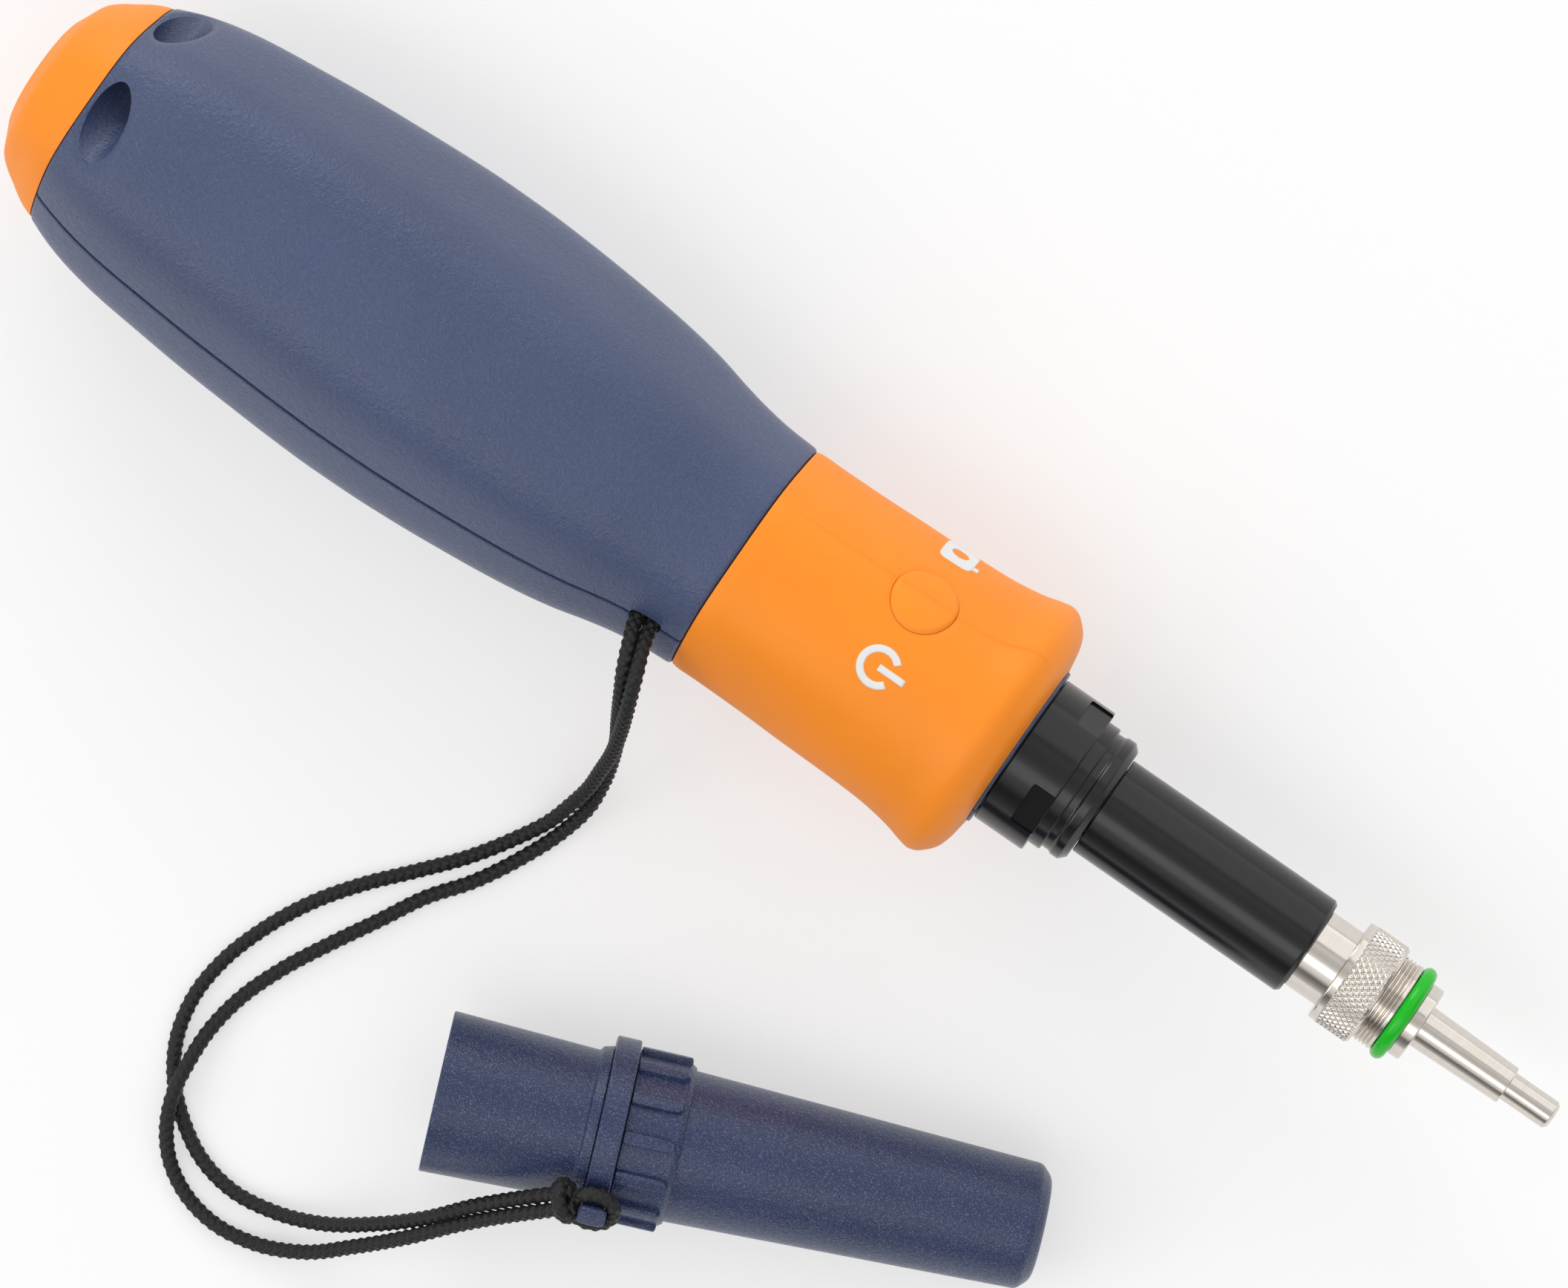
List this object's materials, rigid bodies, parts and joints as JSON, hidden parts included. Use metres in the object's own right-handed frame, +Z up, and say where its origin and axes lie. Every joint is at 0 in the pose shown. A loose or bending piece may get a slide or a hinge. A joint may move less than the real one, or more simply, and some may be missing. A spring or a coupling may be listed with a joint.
{
  "type": "fibre end-face inspection probe",
  "caption": "Hand-held fibre inspection probe with a six-sided soft grip, push button, black optics barrel, knurled lock nut, pin tip and a dust cap tethered on a braided cord.",
  "frame": {"origin": "on the table under the middle of the box round the probe and its cap, without the cord", "axes": "+X along the probe towards its tip, +Z up from the table, +Y from the cap towards the probe"},
  "size_m": [0.2115, 0.1205, 0.0378],
  "materials": {
    "navy_shell": "fine-grained moulded plastic",
    "navy_cap": "fine sparkle grain",
    "orange_soft": "satin soft-touch rubber",
    "orange_pad": "satin soft-touch rubber",
    "black_anodised": "semi-gloss anodised, turned",
    "steel_turned": "fine turned",
    "steel_bright": "bright machined",
    "seal_green": "smooth moulded",
    "braid_black": "braided polyester",
    "steel_dark": "blackened screws",
    "port_shell": "drawn sheet",
    "board_green": "solder mask",
    "contact_gold": "plated",
    "cell_wrap": "shrink sleeve",
    "grey_plastic": "moulded",
    "black_plastic": "moulded",
    "alloy_grey": "machined",
    "brass_screw": "turned",
    "optic_glass": "polished",
    "lamp_white": "moulded lamp"
  },
  "bodies": {
    "probe": {"shell_upper": "navy_shell", "shell_lower": "navy_shell", "rear_bumper": "orange_soft", "front_boot": "orange_soft", "shell_screws": "steel_dark", "charge_port": "port_shell", "charge_board": "board_green", "battery_cradle": "grey_plastic", "battery_contact_rear": "contact_gold", "battery_cell": "cell_wrap", "battery_contact_front": "contact_gold", "main_board": "board_green", "radio_module": "port_shell", "processor_chip": "black_plastic", "button_switch": "black_plastic", "cord_ferrule": "alloy_grey", "optics_frame": "alloy_grey", "focus_motor": "port_shell", "guide_rods": "steel_bright", "beam_splitter": "optic_glass", "light_source": "lamp_white", "barrel_collar": "black_anodised", "barrel_tube": "black_anodised", "lens_cell": "black_anodised", "rear_lens": "optic_glass", "front_lens": "optic_glass", "nose_sleeve": "steel_bright", "cord_strand_near": "braid_black", "cord_strand_far": "braid_black"},
    "button": {"button_pad": "orange_pad"},
    "focus_screw": {"lead_screw": "brass_screw"},
    "carriage": {"focus_carriage": "grey_plastic", "camera_board": "board_green", "image_sensor": "black_plastic"},
    "lock_nut": {"knurled_nut": "steel_turned"},
    "tip": {"tip_body": "steel_turned", "seal_ring": "seal_green"},
    "tether": {"tether_ring": "navy_cap", "hitch_knot": "braid_black"},
    "cap": {"dust_cap": "navy_cap"}
  },
  "joints": [
    {"name": "button_press", "type": "slide", "parent": "probe", "child": "button", "axis": [0, -0.5, -0.866], "range_m": [0, 0.0005], "stiffness_N_per_m": 900, "springref_m": -0.0004},
    {"name": "focus_screw_turn", "type": "hinge", "parent": "probe", "child": "focus_screw", "pos_m": [0.00425, 0.02816, 0.01577], "axis": [1, 0, 0], "range_deg": [-1085, 1085]},
    {"name": "focus_slide", "type": "slide", "parent": "probe", "child": "carriage", "axis": [1, 0, 0], "range_m": [-0.0015, 0.0015]},
    {"name": "nut_turn", "type": "hinge", "parent": "probe", "child": "lock_nut", "pos_m": [0.07875, 0.02996, 0.01889], "axis": [1, 0, 0], "continuous": true},
    {"name": "tip_pull", "type": "slide", "parent": "probe", "child": "tip", "axis": [1, 0, 0], "range_m": [0, 0.014]},
    {"name": "cap_swing", "type": "hinge", "parent": "probe", "child": "tether", "pos_m": [0.02137, -0.04153, 0.01988], "axis": [0, 0, 1], "range_deg": [-30, 25], "deforming": ["cord_strand_near", "cord_strand_far"]},
    {"name": "cap_turn", "type": "hinge", "parent": "tether", "child": "cap", "pos_m": [0.01748, -0.03353, 0.01103], "axis": [0.9261, 0.3704, -0.0721], "continuous": true}
  ],
  "couplings": [
    {"joint": "focus_screw_turn", "follows": "focus_slide", "rad_per_m": 12566}
  ]
}
